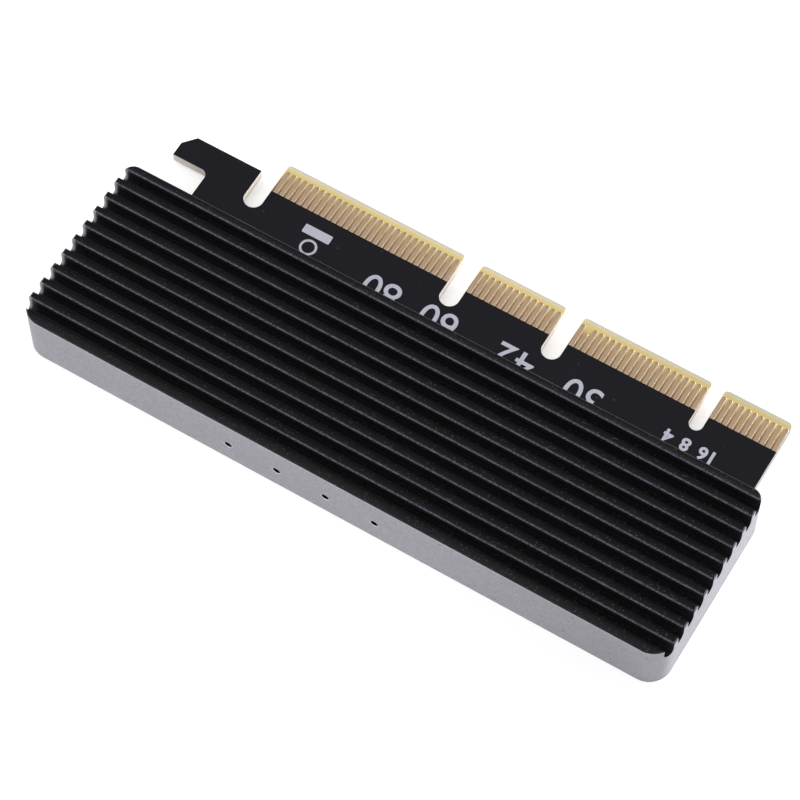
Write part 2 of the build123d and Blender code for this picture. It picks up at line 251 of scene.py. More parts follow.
    def toned(self, mask: Mask, paint: Paint, tone: Value) -> Socket:
        """Returns a colour that is multiplied by a tone where the mask is 1."""
        return self.tint(paint, self.level(mask, 1.0, tone))

    def place_mm(self, origin: Triple = (0.0, 0.0, 0.0)) -> Socket:
        """Returns the object coordinates in millimetres, counted from a point in metres."""
        place = self.add("ShaderNodeTexCoord").outputs["Object"]
        return self.tint(self.math("SUBTRACT", place, origin, kind="ShaderNodeVectorMath"), 1 / MM)

    def stretched(self, vector: Socket, scale: Triple) -> Socket:
        """Returns a vector multiplied by a scale for each axis."""
        return self.math("MULTIPLY", vector, scale, kind="ShaderNodeVectorMath")

    def split(self, vector: Socket) -> tuple[Socket, ...]:
        """Returns the X, Y and Z of a vector."""
        return tuple(self.feed_inputs(self.add("ShaderNodeSeparateXYZ"), vector=vector).outputs)

    def facing(self) -> tuple[Socket, ...]:
        """Returns the X, Y and Z of the surface's normal."""
        return self.split(self.add("ShaderNodeNewGeometry").outputs["Normal"])

    def relief(self, height: Value, depth: float, **after: Socket) -> Socket:
        """Adds a Bump node.

        Args:
            height: The height, from 0 to 1.
            depth: How far 1 stands above 0, in metres.
            after: The normal of an earlier relief, if there is one.

        Returns:
            The normal.
        """
        bump = self.add("ShaderNodeBump")
        return self.feed_inputs(bump, height=height, strength=1.0, distance=depth, **after).outputs[0]

    def grain(self, vector: Socket, size: float, contrast: float) -> Grain:
        """Returns the height and the tone of a fine grain, whose size is in millimetres."""
        node = FineGrain().place(self, vector=vector, size=size, contrast=contrast)
        return Grain(*node.outputs)

    def spots(self, vector: Socket, cell: float, share: float) -> Socket:
        """Returns a mask of spots, one in a share of the cells, whose size is in millimetres."""
        return Speckle().place(self, vector=vector, cell=cell, share=share).outputs[0]


class MaterialSheet(NodeSheet):
    """The nodes of a material with one Principled shader, whose constants are set on its own sockets."""

    def __init__(self, name: str) -> None:
        """Makes the material.

        Args:
            name: Its name.
        """
        self.material = bpy.data.materials.new(name)
        self.material.use_nodes = True
        super().__init__(self.material.node_tree)
        self.surface = self.add("ShaderNodeOutputMaterial").inputs["Surface"]
        self.shader = self.add("ShaderNodeBsdfPrincipled")
        self.feed(self.shader.outputs[0], self.surface)

    def finish(self, **sources: Union[Value, Paint]) -> Material:
        """Feeds the shader's inputs, by their names, and returns the material."""
        self.feed_inputs(self.shader, **sources)
        return self.material


# Effects that several finishes share


class SharedEffect:
    """A node group with named sockets, built once and placed in each material that uses it."""

    name = ""
    inputs: tuple[str, ...] = ()
    outputs: tuple[str, ...] = ()

    def fill(self, sheet: NodeSheet, given: Given) -> tuple[Socket, ...]:
        """Adds the nodes of the group.

        Args:
            sheet: The group's node sheet.
            given: What the group is given, by the names of its inputs.

        Returns:
            What the group puts out, in the order of its outputs.
        """
        raise NotImplementedError

    def tree(self) -> bpy.types.NodeTree:
        """Builds the group's tree, at the first call alone.

        Returns:
            The tree.
        """
        known = bpy.data.node_groups.get(self.name)
        if known:
            return known
        tree = bpy.data.node_groups.new(self.name, "ShaderNodeTree")
        for name in self.inputs:
            kind = "NodeSocketVector" if name == "Vector" else "NodeSocketFloat"
            tree.interface.new_socket(name=name, in_out="INPUT", socket_type=kind)
        for name in self.outputs:
            tree.interface.new_socket(name=name, in_out="OUTPUT", socket_type="NodeSocketFloat")
        sheet = NodeSheet(tree)
        given = sheet.add("NodeGroupInput").outputs
        end = sheet.add("NodeGroupOutput")
        for source, socket in zip(self.fill(sheet, given), end.inputs):
            sheet.feed(source, socket)
        return tree

    def place(self, sheet: NodeSheet, **values: Value) -> Node:
        """Places the group in a material, with what its inputs take, and returns its node."""
        return sheet.feed_inputs(sheet.add("ShaderNodeGroup", node_tree=self.tree()), **values)


class FineGrain(SharedEffect):
    """The fine, even grain that blasting or a mould leaves."""

    name = "fine_grain"
    inputs = ("Vector", "Size", "Contrast")
    outputs = ("Height", "Tone")
    detail: float = 3.0

    def fill(self, sheet: NodeSheet, given: Given) -> tuple[Socket, ...]:
        """Adds noise of the given size.

        Args:
            sheet: The group's node sheet.
            given: The coordinates, the size and the contrast.

        Returns:
            The noise, and a tone that swings about 1 by the contrast.
        """
        scale = sheet.math("DIVIDE", 1.0, given["Size"])
        noise = sheet.add("ShaderNodeTexNoise")
        sheet.feed_inputs(noise, vector=given["Vector"], scale=scale, detail=self.detail)
        swing = sheet.math("SUBTRACT", noise.outputs[0], 0.5)
        return noise.outputs[0], sheet.math("MULTIPLY_ADD", swing, given["Contrast"], 1.0)


class Speckle(SharedEffect):
    """A few small round spots, such as glints, pits or dust."""

    name = "speckle"
    inputs = ("Vector", "Cell", "Share")
    outputs = ("Mask",)
    spot_edge: Pair = (0.42, 0.22)

    def fill(self, sheet: NodeSheet, given: Given) -> tuple[Socket, ...]:
        """Adds cells, some of which have a spot.

        Args:
            sheet: The group's node sheet.
            given: The coordinates, the size of a cell and the share of them with a spot.

        Returns:
            The mask of the spots.
        """
        scale = sheet.math("DIVIDE", 1.0, given["Cell"])
        cells = sheet.feed_inputs(sheet.add("ShaderNodeTexVoronoi"), vector=given["Vector"], scale=scale)
        chosen = sheet.math("LESS_THAN", sheet.split(cells.outputs["Color"])[0], given["Share"])
        return (sheet.both(chosen, sheet.step(cells.outputs["Distance"], *self.spot_edge)),)


class OutlineDistance(SharedEffect):
    """How far a point lies inside a rounded rectangle about the origin, in plan."""

    name = "outline_distance"
    inputs = ("Vector", "Half Length", "Half Width", "Corner Radius")
    outputs = ("Distance",)

    def fill(self, sheet: NodeSheet, given: Given) -> tuple[Socket, ...]:
        """Adds the distance to the straight sides and to the round corners.

        Args:
            sheet: The group's node sheet.
            given: The coordinates, half the length and width, and the radius of the corners.

        Returns:
            The distance, which is below 0 outside.
        """
        radius = given["Corner Radius"]
        past = []
        for place, half in zip(sheet.split(given["Vector"]), ("Half Length", "Half Width")):
            straight = sheet.math("SUBTRACT", given[half], radius)
            past.append(sheet.math("SUBTRACT", sheet.math("ABSOLUTE", place), straight))
        corner = sheet.length(*(sheet.either(beyond, 0.0) for beyond in past))
        within = sheet.math("MINIMUM", sheet.either(*past), 0.0)
        return (sheet.math("SUBTRACT", radius, sheet.math("ADD", corner, within)),)


class RowOffset(SharedEffect):
    """Where a point lies in a row of like things at one pitch."""

    name = "row_offset"
    inputs = ("Place", "Start", "Pitch")
    outputs = ("Offset", "Index")

    def fill(self, sheet: NodeSheet, given: Given) -> tuple[Socket, ...]:
        """Adds the place in the row.

        Args:
            sheet: The group's node sheet.
            given: The place, the place of the first thing and the pitch.

        Returns:
            The offset from the nearest thing's centre, and that one's number.
        """
        run = sheet.math("SUBTRACT", given["Place"], given["Start"])
        index = sheet.math("ROUND", sheet.math("DIVIDE", run, given["Pitch"]))
        return sheet.math("SUBTRACT", run, sheet.both(index, given["Pitch"])), index


class EdgeWear(SharedEffect):
    """The outer and inner edges of a piece, where handling thins the finish."""

    name = "edge_wear"
    inputs = ("Radius",)
    outputs = ("Mask",)
    lean: Pair = (0.995, 0.86)

    def fill(self, sheet: NodeSheet, given: Given) -> tuple[Socket, ...]:
        """Adds how far a rounded normal leans from the flat one.

        Args:
            sheet: The group's node sheet.
            given: The radius of the edges, in metres.

        Returns:
            The mask of the edges.
        """
        rounded = sheet.feed_inputs(sheet.add("ShaderNodeBevel", samples=4), radius=given["Radius"])
        match = sheet.add("ShaderNodeVectorMath", operation="DOT_PRODUCT")
        sheet.feed(rounded.outputs[0], match.inputs[0])
        sheet.feed(sheet.add("ShaderNodeNewGeometry").outputs["Normal"], match.inputs[1])
        return (sheet.step(match.outputs["Value"], *self.lean),)


# Finishes


@dataclass(frozen=True)
class Finish:
    """A finish, which is kept as a material."""

    name: str

    def material(self) -> Material:
        """Builds the finish and returns its material."""
        raise NotImplementedError


@dataclass(frozen=True)
class ShellFinish(Finish):
    """Black anodised fins inside a bead-blasted outline painted light grey as a painted reflection, with
    bright rims at the light holes, and painted highlights and shade on the fins.
    """

    shell: "Shell"
    low: Vector
    high: Vector
    black: Triple = (0.0098, 0.0095, 0.0112)
    # Light grey of the sides: a painted reflection of the white surroundings in the black anodising.
    reflection_grey: Triple = (0.37, 0.36, 0.395)
    # Pale grey for the cut rims of the light holes, and for painted highlights and painted reflections.
    bright: Triple = (0.56, 0.55, 0.58)
    # Colour of the painted highlight along the front-facing fin edges.
    edge_highlight: Triple = (0.128, 0.126, 0.165)
    pit: Triple = (0.05, 0.05, 0.06)
    # Colour of the painted glints.
    glint: Triple = (0.09, 0.09, 0.095)
    specular: float = 0.12
    metal: float = 0.75

    def material(self) -> Material:
        """Builds the finish.

        Returns:
            Its material.
        """
        sheet = MaterialSheet(self.name)
        shell = self.shell
        half = (self.high - self.low) / 2 / MM
        front, back, top = -half.y, half.y, 2 * half.z
        centre = (self.low + self.high) / 2
        place = sheet.place_mm((centre.x, centre.y, self.low.z))
        x, y, z = sheet.split(place)
        normal_x, normal_y, normal_z = sheet.facing()
        radius = sheet.level((y, -0.1, 0.1), shell.front_radius, shell.back_radius)
        outline = OutlineDistance().place(
            sheet, vector=place, half_length=half.x, half_width=half.y, corner_radius=radius
        )
        inside = outline.outputs[0]
        along = sheet.step(x, -half.x, half.x)

        # Blasted sides, painted light grey: a painted reflection of the white surroundings in the black
        # anodising
        blasting = sheet.grain(place, size=0.20, contrast=0.75)
        mottle = sheet.grain(place, size=0.7, contrast=0.22)
        patches = sheet.grain(place, size=6.0, contrast=0.10)
        reflection_grey = sheet.tint(self.reflection_grey, sheet.both(blasting.tone, mottle.tone, patches.tone))
        # Painted shade: the front face is darker toward its right end.
        front_right = sheet.both((normal_y, -0.2, -0.6), (x, 12.0, half.x))
        reflection_grey = sheet.toned(front_right, reflection_grey, 0.82)
        # Painted light: the right end face is lighter toward the back.
        end_side = sheet.both((normal_x, 0.5, 0.9), (y, -8.0, 12.0))
        reflection_grey = sheet.toned(end_side, reflection_grey, 1.09)
        pits = sheet.spots(place, cell=0.6, share=0.012)
        reflection_grey = sheet.blend(sheet.both(pits, 0.55), reflection_grey, self.pit)
        # Painted highlight: a pale line along the top of the front face.
        crest = sheet.both(sheet.band(z, top - 0.28, top, 0.04), (normal_y, -0.3, -0.8))
        reflection_grey = sheet.blend(sheet.both(crest, 0.65), reflection_grey, self.bright)

        # Black fins, ribs and grooves
        bloom = sheet.grain(place, size=0.24, contrast=2.0)
        black = sheet.tint(self.black, sheet.both(bloom.tone, patches.tone))
        fin = RowOffset().place(sheet, place=y, start=shell.first_fin(half.y), pitch=shell.fin_pitch(half.y))
        across = sheet.step(fin.outputs["Offset"], -shell.fin_width / 2, shell.fin_width / 2)
        flat_top = sheet.step(normal_z, 0.8, 0.95)
        rib_edge = front + shell.front_rib
        front_rib = sheet.both(flat_top, (y, rib_edge + 0.1, rib_edge))
        rib_edge = back - shell.back_rib
        back_rib = sheet.both(flat_top, (y, rib_edge - 0.05, rib_edge + 0.05))
        groove = sheet.step(z, top - 0.25, top - 0.6)
        groove_tone = sheet.level((normal_z, 0.4, 0.95), 1.7, 0.2)
        # Painted light and shade: fin tops darker toward their far edge, the ribs lighter, the back rib more
        # so toward the right end, groove floors darker and groove walls lighter.
        for mask, tone in (
            (flat_top, sheet.level(across, 0.98, 0.25)),
            (front_rib, 1.4),
            (back_rib, sheet.level(along, 1.65, 2.1)),
            (groove, groove_tone),
        ):
            black = sheet.toned(mask, black, tone)
        # Painted glints on the black tops, more of them toward the right end.
        glints = sheet.spots(place, cell=0.28, share=0.16)
        glints = sheet.both(glints, sheet.level(along, 0.35, 0.65), (normal_z, 0.3, 0.8))
        black = sheet.blend(glints, black, self.glint)

        # Broken edges of the fins: painted shade on the edges facing back, painted highlight on the edges
        # facing the front
        leaning = sheet.both((z, top - 0.3, top - 0.22), sheet.band(normal_z, 0.55, 0.85, 0.1))
        # Painted shade on the chamfers facing back.
        black = sheet.toned(sheet.both(leaning, (normal_y, 0.3, 0.6)), black, 0.35)
        to_front = sheet.step(normal_y, -0.3, -0.6)
        at_end = sheet.both((inside, 0.40, 0.25), (normal_y, 0.5, 0.3))
        front_rim = sheet.both(to_front, (inside, 0.30, 0.24))
        # Painted highlight, with grain, along the chamfers facing the front and the ends.
        toward = sheet.both(sheet.either(to_front, at_end), sheet.level(front_rim, 1.0, 0.12))
        highlight_grain = sheet.level((bloom.height, 0.3, 0.7), 0.20, 1.15)
        black = sheet.blend(sheet.both(leaning, toward, highlight_grain), black, self.edge_highlight)
        # Painted reflection: a light patch on the front-facing walls at the left end.
        left_end = sheet.step(x, 0.7 - half.x, 0.1 - half.x)
        end_reflection = sheet.both(left_end, (normal_y, -0.2, -0.7), 0.75)
        black = sheet.blend(end_reflection, black, self.bright)

        # Light holes
        hole = RowOffset().place(sheet, place=x, start=shell.hole_start, pitch=shell.hole_pitch)
        hole_radius = shell.hole_diameter / 2
        from_hole = sheet.length(hole.outputs["Offset"], sheet.math("SUBTRACT", z, shell.hole_height))
        in_row = sheet.band(hole.outputs["Index"], 1.0 - shell.hole_count, 0.0, 0.2)
        ring = sheet.band(from_hole, hole_radius + 0.09, hole_radius + shell.hole_break + 0.06, 0.03)
        rim = sheet.both(in_row, ring, (y, front + 0.5, front + 0.3))
        reflection_grey = sheet.blend(rim, reflection_grey, self.bright)
        # Painted shade: the inside of each light hole is darkened.
        bore = sheet.both(
            in_row,
            (from_hole, hole_radius + 0.11, hole_radius + 0.07),
            (y, front + 2.0, front + 1.5),
            (inside, 0.0, 0.03),
        )
        black = sheet.toned(bore, black, 0.15)

        # Where the light grey shows: the painted reflection on the sides, the cut rims of the holes and the
        # painted highlight along the crest
        upright = sheet.step(sheet.math("ABSOLUTE", normal_z), 0.6, 0.4)
        shown = sheet.either(
            sheet.both((inside, 0.05, 0.02), upright),
            sheet.both(rim, (inside, shell.hole_break + 0.03, shell.hole_break)),
            sheet.both(crest, (inside, 0.04, 0.02)),
        )
        wear = sheet.grain(place, size=2.4, contrast=0.25)
        blasted = sheet.relief(blasting.height, 0.018 * MM)
        return sheet.finish(
            base_color=sheet.blend(shown, black, reflection_grey),
            metallic=sheet.both(shown, self.metal),
            specular_ior_level=self.specular,
            roughness=sheet.both(wear.tone, sheet.level(shown, 0.40, 0.52)),
            normal=sheet.relief(bloom.height, 0.012 * MM, normal=blasted),
        )


@dataclass(frozen=True)
class BoardFinish(Finish):
    """Black solder mask, bare laminate round the contacts, and pale cut edges."""

    mask_end: float
    tab_end: float
    contact_tip: float
    edge: float
    bottom: float
    top: float
    contact_start: float
    contact_pitch: float
    track_bend: float = 9.0
    track_fan: float = 7.0
    track_slope: float = 0.9
    mask: Triple = (0.0080, 0.0075, 0.0114)
    dust: Triple = (0.3, 0.3, 0.3)
    # Stops of the laminate ramp, which paints shade between the contacts.
    shade: Triple = (0.20, 0.14, 0.07)
    laminate: Triple = (0.385, 0.24, 0.09)
    warm: Triple = (0.665, 0.515, 0.203)
    band: Triple = (0.735, 0.595, 0.252)
    pale: Triple = (0.76, 0.71, 0.58)
    cream: Triple = (0.86, 0.81, 0.68)
    cut: Triple = (0.76, 0.69, 0.60)
    end_cut: Triple = (0.42, 0.415, 0.42)
    scorched: Triple = (0.20, 0.12, 0.07)
    bevel_tone: float = 0.53
    specular: float = 0.15

    def material(self) -> Material:
        """Builds the finish.

        Returns:
            Its material.
        """
        sheet = MaterialSheet(self.name)
        place = sheet.place_mm()
        x, y, z = sheet.split(place)
        normal_x, normal_y, normal_z = sheet.facing()
        flatness = sheet.math("ABSOLUTE", normal_z)
        flat = sheet.step(flatness, 0.93, 0.97)
        wall = sheet.step(flatness, 0.4, 0.2)
        on_tab = sheet.step(x, self.tab_end - 0.6, self.tab_end - 0.3)
        bare = sheet.both(on_tab, (y, self.mask_end - 0.01, self.mask_end + 0.03))
        covered = sheet.math("SUBTRACT", 1.0, bare)

        # Laminate
        # Painted shade: the bare laminate between the contacts darkens from the contact tips toward the mask.
        stops = (
            (self.mask_end, self.shade),
            (self.contact_tip - 2.0, self.laminate),
            (self.contact_tip - 0.3, self.warm),
            (self.contact_tip + 0.3, self.band),
            (self.edge - 0.4, self.pale),
            (self.edge - 0.1, self.cream),
        )
        weave = sheet.grain(sheet.stretched(place, (1.0, 1.0, 0.3)), size=0.22, contrast=0.16)
        laminate = sheet.tint(sheet.ramp(y, stops), weave.tone)
        past_tips = sheet.step(y, self.contact_tip - 0.2, self.contact_tip + 0.3)
        laminate = sheet.toned(sheet.both(past_tips, (x, 0.0, 45.0)), laminate, 0.85)

        # Solder mask
        mask = sheet.tint(self.mask, sheet.grain(place, size=9.0, contrast=0.25).tone)
        specks = sheet.spots(place, cell=0.45, share=0.006)
        mask = sheet.blend(sheet.both(specks, 0.10), mask, self.dust)
        mask_line = sheet.both(on_tab, sheet.band(y, self.mask_end - 0.10, self.mask_end - 0.02, 0.02))
        mask = sheet.toned(mask_line, mask, 0.55)

        # Cut edges and bevels
        plies = sheet.add("ShaderNodeTexWave", bands_direction="Z")
        sheet.feed_inputs(plies, vector=place, scale=1.6, distortion=1.2, detail_scale=2.5)
        fray = sheet.grain(place, size=0.12, contrast=0.35)
        end_wall = sheet.both((normal_x, 0.5, 0.9), (x, 45.0, 47.0))
        end_wall = sheet.either(end_wall, (normal_y, 0.5, 0.9))
        cut = sheet.blend(end_wall, self.cut, self.end_cut)
        cut = sheet.tint(cut, sheet.both(fray.tone, sheet.level(plies.outputs[1], 0.90, 1.03)))
        upper_skin = sheet.step(z, self.top - 0.13, self.top - 0.03)
        lower_skin = sheet.step(z, self.bottom + 0.13, self.bottom + 0.03)
        scorch = sheet.both(sheet.either(upper_skin, lower_skin), sheet.level(bare, 0.9, 0.25))
        cut = sheet.blend(scorch, cut, self.scorched)
        # Painted shade: the bevels take the laminate colour darkened by bevel_tone.
        ground = sheet.tint(laminate, sheet.both(fray.tone, self.bevel_tone))

        # Gloss and relief
        haze = sheet.grain(place, size=3.0, contrast=0.2)
        peel = sheet.grain(place, size=0.35, contrast=0.2)
        peeled = sheet.relief(peel.height, 0.006 * MM)
        stepped = sheet.relief(covered, 0.02 * MM, normal=peeled)
        return sheet.finish(
            base_color=sheet.blend(flat, sheet.blend(wall, ground, cut), sheet.blend(bare, mask, laminate)),
            specular_ior_level=self.specular,
            roughness=sheet.both(haze.tone, sheet.level(sheet.both(flat, covered), 0.55, 0.38)),
            normal=sheet.relief(self.tracks(sheet, x, y, normal_z), 0.03 * MM, normal=stepped),
        )

    def tracks(self, sheet: NodeSheet, x: Value, y: Value, normal_z: Value) -> Socket:
        """Lays the copper tracks under the mask of the rear face.

        Args:
            sheet: The material's node sheet.
            x: The place along the card, in millimetres.
            y: The place across the card, in millimetres.
            normal_z: The Z of the surface's normal.

        Returns:
            The height of the tracks, from 0 to 1.
        """
        inward = sheet.either(sheet.math("SUBTRACT", self.track_bend, y), 0.0)
        fanned = sheet.math("MINIMUM", inward, self.track_fan)
        run = sheet.math("MULTIPLY_ADD", fanned, self.track_slope, x)
        track = RowOffset().place(sheet, place=run, start=self.contact_start, pitch=self.contact_pitch)
        return sheet.both(
            (sheet.math("ABSOLUTE", track.outputs["Offset"]), 0.17, 0.10),
            (normal_z, -0.9, -0.97),
            (y, self.mask_end, self.mask_end - 0.4),
            (y, -1.0, 0.5),
        )


@dataclass(frozen=True)
class GoldFinish(Finish):
    """Gold plating wiped along its length, with painted light on its sloping sides facing +X and painted
    shade at its tips and on its sides facing -X.
    """

    tip: float
    gold: Triple = (0.612, 0.450, 0.322)
    # Gold of the slopes facing +X, set for how the lamp lights them: painted light.
    rolled: Triple = (0.362, 0.272, 0.193)
    # Darker gold: painted shade at the tips and on the slopes facing -X.
    worn: Triple = (0.53, 0.37, 0.225)
    roughness: float = 0.42

    def material(self) -> Material:
        """Builds the finish.

        Returns:
            Its material.
        """
        sheet = MaterialSheet(self.name)
        place = sheet.place_mm()
        normal_x = sheet.facing()[0]
        wipes = sheet.grain(sheet.stretched(place, (1.0, 0.05, 1.0)), size=0.05, contrast=0.16)
        clouds = sheet.grain(place, size=1.6, contrast=0.18)
        gold = sheet.tint(self.gold, sheet.both(wipes.tone, clouds.tone))
        # Painted shade: the contacts are darker at their rounded tips.
        at_tip = sheet.step(sheet.split(place)[1], self.tip - 0.5, self.tip - 0.2)
        gold = sheet.blend(at_tip, gold, self.worn)
        # Painted light: the slopes facing +X take a gold of their own, set for how the lamp lights them.
        gold = sheet.blend((normal_x, 0.2, 0.5), gold, self.rolled)
        # Painted shade on the slopes facing -X.
        gold = sheet.blend((normal_x, -0.2, -0.5), gold, self.worn)
        return sheet.finish(
            base_color=gold,
            metallic=1.0,
            roughness=sheet.both(wipes.tone, self.roughness),
            normal=sheet.relief(wipes.height, 0.002 * MM),
        )


class Texture(Enum):
    """How the surface of a small part is worked, as the stretch of its grain along each axis."""

    MOULDED = (1.0, 1.0, 1.0)
    TURNED = (0.15, 0.15, 4.0)
    ROLLED = (0.2, 3.0, 1.0)
    SOFT = (0.6, 0.6, 0.6)


@dataclass(frozen=True)
class PartFinish(Finish):
    """One even finish with grain and worn edges, for the small parts."""

    colour: Triple
    worn: Triple
    texture: Texture
    metallic: float = 0.0
    roughness: float = 0.45
    grain: float = 0.12
    wear: float = 0.5

    def material(self) -> Material:
        """Builds the finish.

        Returns:
            Its material.
        """
        sheet = MaterialSheet(self.name)
        place = sheet.place_mm()
        grain = sheet.grain(sheet.stretched(place, self.texture.value), size=self.grain, contrast=0.3)
        clouds = sheet.grain(place, size=2.2, contrast=0.2)
        edges = EdgeWear().place(sheet, radius=0.08 * MM).outputs[0]
        colour = sheet.tint(self.colour, sheet.both(grain.tone, clouds.tone))
        depth = 0.02 if self.texture is Texture.SOFT else 0.006
        return sheet.finish(
            base_color=sheet.blend(sheet.both(edges, self.wear), colour, self.worn),
            metallic=self.metallic,
            roughness=sheet.both(clouds.tone, self.roughness),
            normal=sheet.relief(grain.height, depth * MM),
        )


@dataclass(frozen=True)
class ChipFinish(Finish):
    """Coated ceramic with tinned end caps, for parts that stand in a row along one axis."""

    axis: int
    start: float
    pitch: float
    body_half: float
    body: Triple
    gloss: float
    cap: Triple = (0.72, 0.72, 0.70)
    cap_gloss: float = 0.32

    def material(self) -> Material:
        """Builds the finish.

        Returns:
            Its material.
        """
        sheet = MaterialSheet(self.name)
        place = sheet.place_mm()
        along = sheet.split(place)[self.axis]
        chip = RowOffset().place(sheet, place=along, start=self.start, pitch=self.pitch)
        from_middle = sheet.math("ABSOLUTE", chip.outputs["Offset"])
        capped = sheet.step(from_middle, self.body_half - 0.01, self.body_half + 0.01)
        grain = sheet.grain(place, size=0.09, contrast=0.35)
        return sheet.finish(
            base_color=sheet.tint(sheet.blend(capped, self.body, self.cap), grain.tone),
            metallic=capped,
            roughness=sheet.level(capped, self.gloss, self.cap_gloss),
            normal=sheet.relief(grain.height, 0.008 * MM),
        )


@dataclass(frozen=True)
class InkFinish(Finish):
    """Screen-printed ink, a little uneven, with pinholes."""

    ink: Triple = (0.45, 0.463, 0.535)
    pinhole: Triple = (0.1, 0.1, 0.12)
    roughness: float = 0.6

    def material(self) -> Material:
        """Builds the finish.

        Returns:
            Its material.
        """
        sheet = MaterialSheet(self.name)
        place = sheet.place_mm()
        screen = sheet.grain(place, size=0.16, contrast=0.30)
        patches = sheet.grain(place, size=1.5, contrast=0.16)
        ink = sheet.tint(self.ink, sheet.both(screen.tone, patches.tone))
        pinholes = sheet.spots(place, cell=0.14, share=0.05)
        return sheet.finish(
            base_color=sheet.blend(sheet.both(pinholes, 0.35), ink, self.pinhole),
            roughness=sheet.both(screen.tone, self.roughness),
            normal=sheet.relief(screen.height, 0.004 * MM),
        )


@dataclass(frozen=True)
class FloorFinish(Finish):
    """A white floor that stays white in the picture and keeps the soft shadow of the card."""

    paper: Triple = (0.80, 0.80, 0.80)
    white: Triple = (1.0, 1.0, 1.0)
    lift: float = 0.50

    def material(self) -> Material:
        """Builds the finish.

        Returns:
            Its material.
        """
        sheet = MaterialSheet(self.name)
        fibre = sheet.grain(sheet.place_mm(), size=1.2, contrast=0.012)
        path = sheet.add("ShaderNodeLightPath").outputs
        seen = sheet.either(*(path[f"Is {ray} Ray"] for ray in ("Camera", "Glossy", "Transmission")))
        lifted = sheet.add("ShaderNodeEmission")
        sheet.feed_inputs(lifted, color=self.white, strength=sheet.both(seen, self.lift))
        joined = sheet.add("ShaderNodeAddShader")
        for shader, socket in zip((sheet.shader, lifted), joined.inputs):
            sheet.feed(shader.outputs[0], socket)
        sheet.feed(joined.outputs[0], sheet.surface)
        paper = sheet.tint(self.paper, fibre.tone)
        return sheet.finish(base_color=paper, roughness=1.0, specular_ior_level=0.0)


# Mesh work


def start_alone() -> None:
    """Leaves edit mode and deselects everything, before a piece is begun."""
    if bpy.context.object and bpy.context.object.mode != "OBJECT":
        bpy.ops.object.mode_set(mode="OBJECT")
    bpy.ops.object.select_all(action="DESELECT")


def apply_place() -> None:
    """Puts the place, turn and scale of the selected piece into its mesh."""
    bpy.ops.object.transform_apply(location=True, rotation=True, scale=True)


def open_plate(centre: Triple, length: float, width: float) -> Piece:
    """Adds a flat rectangle and opens it in edit mode.

    Args:
        centre: Its centre, in metres.
        length: Its size along X, in millimetres.
        width: Its size along Y, in millimetres.

    Returns:
        The rectangle, with nothing selected.
    """
    start_alone()
    bpy.ops.mesh.primitive_plane_add(size=1.0, location=centre)
    plate = bpy.context.object
    plate.scale = (length * MM, width * MM, 1.0)
    apply_place()
    bpy.ops.object.mode_set(mode="EDIT")
    return plate


def open_disc(centre: Triple, radius: float, corners: int) -> Piece:
    """Adds a flat disc and opens it in edit mode.

    Args:
        centre: Its centre, in metres.
        radius: Its radius, in millimetres.
        corners: The number of its corners.

    Returns:
        The disc.
    """
    start_alone()
    bpy.ops.mesh.primitive_circle_add(
        vertices=corners, radius=radius * MM, fill_type="NGON", location=centre
    )
    disc = bpy.context.object
    bpy.ops.object.mode_set(mode="EDIT")
    bpy.ops.mesh.select_all(action="SELECT")
    return disc


def extrude_all(rise: float) -> None:
    """Extrudes all of the mesh in edit mode along Z, by a rise in millimetres."""
    bpy.ops.mesh.select_all(action="SELECT")
    bpy.ops.mesh.extrude_region_move(TRANSFORM_OT_translate={"value": (0, 0, rise * MM)})


def close_mesh() -> None:
    """Turns the faces of the mesh in edit mode outwards and leaves edit mode."""
    bpy.ops.mesh.select_all(action="SELECT")
    bpy.ops.mesh.normals_make_consistent(inside=False)
    bpy.ops.object.mode_set(mode="OBJECT")


def flat_ring(centre: Triple, radius: float, width: float, rise: float, corners: int) -> Piece:
    """Models a flat ring.

    Args:
        centre: Its centre, in metres.
        radius: Its outer radius, in millimetres.
        width: How wide it is between its two radii, in millimetres.
        rise: How far it stands along Z, in millimetres.
        corners: The number of its corners.

    Returns:
        The ring.
    """
    ring = open_disc(centre, radius, corners)
    bpy.ops.mesh.inset(thickness=width * MM)
    select_parts(ring, "faces", lambda face: len(face.verts) > 4)
    bpy.ops.mesh.delete(type="FACE")
    extrude_all(rise)
    close_mesh()
    return ring


def select_parts(piece: Piece, kind: str, wanted: Callable[[object], bool]) -> None:
    """Selects the parts of the piece in edit mode that pass a test.

    Args:
        piece: The piece, in edit mode.
        kind: What is tested, verts or faces.
        wanted: Takes such a part and says whether it is selected.
    """
    mesh = bmesh.from_edit_mesh(piece.data)
    for part in (*mesh.verts, *mesh.edges, *mesh.faces):
        part.select = False
    for part in getattr(mesh, kind):
        if wanted(part):
            part.select_set(True)
    mesh.select_flush(True)
    bmesh.update_edit_mesh(piece.data)


def settle(piece: Piece, name: str, material: Material) -> Piece:
    """Finishes a piece: its place goes into its mesh, and it rides on the card.

    Args:
        piece: The piece.
        name: Its name.
        material: Its finish.

    Returns:
        The piece.
    """
    start_alone()
    piece.select_set(True)
    bpy.context.view_layer.objects.active = piece
    apply_place()
    piece.name = name
    piece.data.name = name
    piece.data.materials.clear()
    piece.data.materials.append(material)
    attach(piece, "root")
    return piece


def join(pieces: list[Piece]) -> Piece:
    """Joins several pieces into one.

    Args:
        pieces: The pieces.

    Returns:
        The first one, with the others in it.
    """
    start_alone()
    for piece in pieces:
        piece.select_set(True)
    bpy.context.view_layer.objects.active = pieces[0]
    bpy.ops.object.join()
    return pieces[0]


